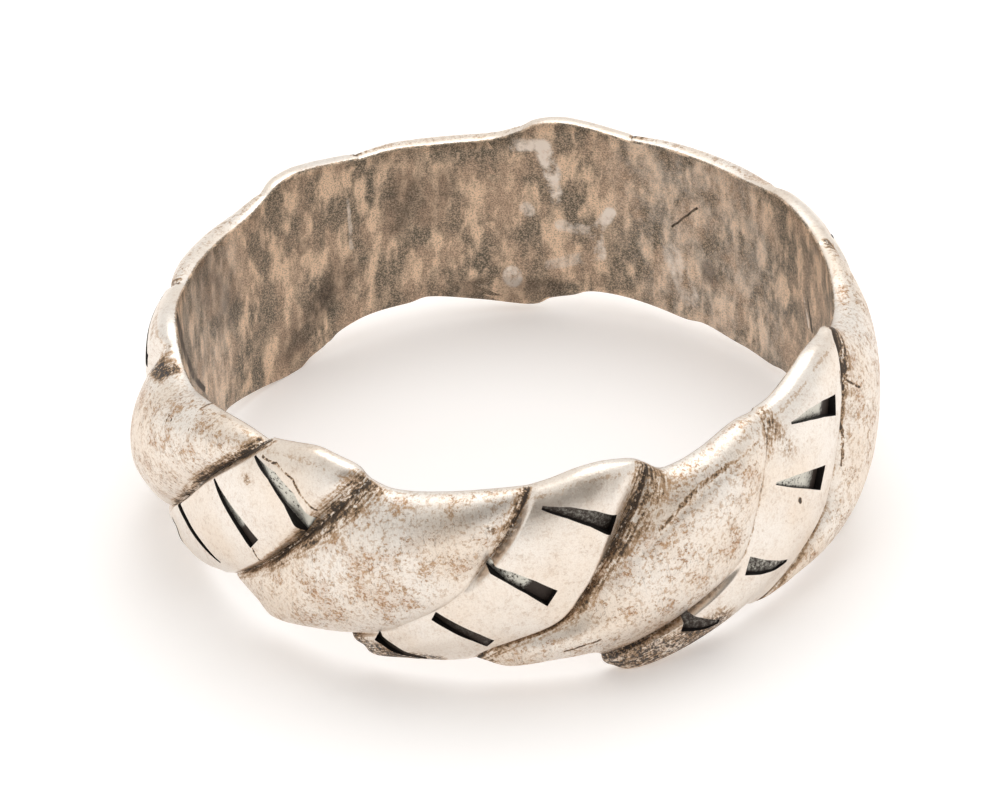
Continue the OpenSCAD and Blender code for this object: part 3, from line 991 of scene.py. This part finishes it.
# Part of this darkness is painted shade as well as tarnish: at the tops of the front strand's
# grooves and along the band's lowest edge.
amount = groove + stain_and_shade * 0.85 + scratch * 1.3
amount = amount.math("MINIMUM", amount, 1.3)
ragged = (crumbs - 0.5) * 3 + (fibres - 0.5) * 3 + (blotches - 0.5) * 1.5
tarnish_and_shade = (amount * (ragged + 0.66)).held()
seam_dark = seam * (groove + (crumbs - 0.5) * 2 + (blotches - 0.5) * 2).rise(0.4, 0.9)
skin = (tarnish_and_shade.rise(0.12, 0.45) * 0.85).tint(skin, TAN)
skin = (tarnish_and_shade.rise(0.35, 0.7) * 0.9).tint(skin, OLIVE)
skin = (tarnish_and_shade.rise(0.6, 0.95) * 0.95).tint(skin, BROWN)
skin = seam_dark.tint(skin, BROWN)
pit = (stain_and_shade.rise(0.3, 0.9) * (crumbs + flecks - 0.9).rise(0, 0.25)).held()
skin = pit.tint(skin, PIT_GREY)

# %% The inside of the band, and the notches
BORE_BROWN, BORE_TAN = (0.44, 0.315, 0.225), (0.88, 0.66, 0.475)
BORE_DARK, BORE_WHITE = (0.125, 0.11, 0.085), (0.88, 0.79, 0.70)
soft = strip.drawn(94, 1.1, 0.55).grain(1, 2, 0.55)
soft_2 = strip.drawn(85, 1.7, 0.9).vector("ADD", (7, 3, 1)).grain(1, 2, 0.5)
lining = place.grain(700, 3, 0.55).rise(0.38, 0.6).tint(BORE_DARK, BORE_BROWN)
lining = (soft.rise(0.44, 0.64) * 0.95).tint(lining, BORE_TAN)
lining = (soft_2.rise(0.48, 0.64) * 0.7).tint(lining, BORE_DARK)
lining = (dust.rise(0.48, 0.62) * 0.5).tint(lining, BORE_DARK)
lining = ((1 - dust).rise(0.48, 0.62) * 0.4).tint(lining, BORE_TAN)
lining = (crumbs.rise(0.5, 0.62) * 0.25).tint(lining, BORE_TAN)
pale = (soft - 0.5) * 4 + (blotches - 0.5) * 3 + (flecks - 0.5) * 3 + 0.75
pale = bore_light.rise(0.05, 1.1) * pale
lining = pale.held().tint(lining, BORE_WHITE)
lining = (bore_dark * ((blotches - 0.5) * 2.5 + 0.85)).held().tint(lining, BROWN)
inside = (bore * 1.6 + (crumbs - 0.5) * 1.5).rise(0.5, 1)
colour = inside.tint(skin, lining)
glint = (bare * (0.85 + (crumbs - 0.5) * 4.5 + (blotches - 0.5) * 1.5)).rise(0.08, 0.85)
cut_colour = (floor * glint).tint(floor.tint(SOOT, CUT_DARK), GRAVER_GREY)
colour = cut_face.tint(colour, cut_colour)

# %% Gloss, dullness and fine relief
dull = (tarnish_and_shade * (1 - cut_face) + (1 - glint * floor) * cut_face).held()
roughness = 0.3 + smooth * 0.06 + mottle * 0.12 + dull * 0.3 + inside * 0.14
metallic = 1 - dull * 0.75 - inside * 0.3
RELIEF_STRENGTH, RELIEF_DEPTH = 0.6, 0.02 * MM
relief = crumbs * 0.6 - flecks * smooth * 0.5 + dust * 0.35
bump = relief.new("Bump", None, {
    "Strength": RELIEF_STRENGTH, "Distance": RELIEF_DEPTH, "Height": relief,
})

shader = silver.node_tree.nodes["Principled BSDF"]
links = silver.node_tree.links
links.new(colour.socket, shader.inputs["Base Color"])
links.new(roughness.held().socket, shader.inputs["Roughness"])
links.new(metallic.held().socket, shader.inputs["Metallic"])
links.new(bump.socket, shader.inputs["Normal"])
carved_band.data.materials.append(silver)
print(len(silver.node_tree.nodes), "nodes in the silver")

# %% [markdown]
# The table, the light and the camera.
#
# Small silver is photographed in a white tent: pale paper under it and soft light all round,
# with one darker side where the camera looks in. That darker side is what gives the metal
# its grey clouds. The camera is far away with a long lens, a third of a right angle above
# the table, and slightly rolled.

# %% The paper under the ring
PAPER_SIZE = 1.5
PAPER, PAPER_GLOW = (0.92, 0.915, 0.91), (0.225, 0.212, 0.206)
paper_mesh = bmesh.new()
bmesh.ops.create_grid(paper_mesh, x_segments=1, y_segments=1, size=PAPER_SIZE)
bmesh.ops.translate(paper_mesh, verts=paper_mesh.verts[:], vec=(0, 0, cad_box[0].z))
sheet_mesh = bpy.data.meshes.new("paper")
paper_mesh.to_mesh(sheet_mesh)
paper_mesh.free()
paper = bpy.data.objects.new("paper", sheet_mesh)
scene.collection.objects.link(paper)
pale = bpy.data.materials.new("pale_paper")
pale.use_nodes = True
pale_shader = pale.node_tree.nodes["Principled BSDF"]
pale_shader.inputs["Base Color"].default_value = (*PAPER, 1)
pale_shader.inputs["Roughness"].default_value = 0.9
pale_shader.inputs["Specular IOR Level"].default_value = 0
pale_shader.inputs["Emission Color"].default_value = (*PAPER_GLOW, 1)
pale_shader.inputs["Emission Strength"].default_value = 1
paper.data.materials.append(pale)

# %% The white tent
TENT, TENT_OPENING = 0.92, 0.24
OPENING_UP = math.radians(28)
TENT_WHITE, OPENING_WARM = (1, 0.995, 0.985), (1, 0.93, 0.85)
tent = bpy.data.worlds.new("white_tent")
scene.world = tent
tent.use_nodes = True
tent_wire = Wire(tent.node_tree)
look = tent_wire.new("TexCoord", output="Generated")
opening = look.vector("DOT_PRODUCT", (0, -math.cos(OPENING_UP), math.sin(OPENING_UP)), "Value")
opening = opening.rise(0.72, 0.97)
brightness = opening * (TENT_OPENING - TENT) + TENT
cloth_light = opening.tint(TENT_WHITE, OPENING_WARM)
background = tent.node_tree.nodes["Background"]
tent.node_tree.links.new(brightness.socket, background.inputs["Strength"])
tent.node_tree.links.new(cloth_light.socket, background.inputs["Color"])


def soft_lamp(name, place, size, power):
    """A square lamp that looks at the ring."""
    data = bpy.data.lights.new(name, "AREA")
    data.size, data.energy = size, power
    lamp = bpy.data.objects.new(name, data)
    aim = (-Vector(place)).to_track_quat("-Z", "Y").to_matrix().to_4x4()
    lamp.matrix_world = Matrix.Translation(place) @ aim
    scene.collection.objects.link(lamp)


LAMP_PLACE, LAMP_SIZE, LAMP_POWER = (0.03, 0.08, 0.25), 0.2, 0.21
soft_lamp("top_lamp", LAMP_PLACE, LAMP_SIZE, LAMP_POWER)
scene.view_settings.view_transform = "Standard"

# %% The camera
ELEVATION = math.radians(33.63)
DISTANCE = 0.162
PHOTO_W, PHOTO_H = 1000, 800
FOCAL_PIXELS = 5832
AIM_X, AIM_Y = 509.9, 390.1
ROLL = math.radians(3.52)
SENSOR = 36
camera_data = bpy.data.cameras.new("camera")
camera_data.sensor_width = SENSOR
camera_data.lens = FOCAL_PIXELS / PHOTO_W * SENSOR
camera_data.shift_x = (PHOTO_W / 2 - AIM_X) / PHOTO_W
camera_data.shift_y = (AIM_Y - PHOTO_H / 2) / PHOTO_W
camera_data.clip_start = 0.01
camera = bpy.data.objects.new("camera", camera_data)
back = Vector((0, -math.cos(ELEVATION), math.sin(ELEVATION)))
look_at = (-back).to_track_quat("-Z", "Y").to_matrix().to_4x4()
roll = Matrix.Rotation(-ROLL, 4, "Z")
camera.matrix_world = Matrix.Translation(back * DISTANCE) @ look_at @ roll
scene.collection.objects.link(camera)
scene.camera = camera
print("camera", round(DISTANCE / MM), "mm away, lens", round(camera_data.lens), "mm")
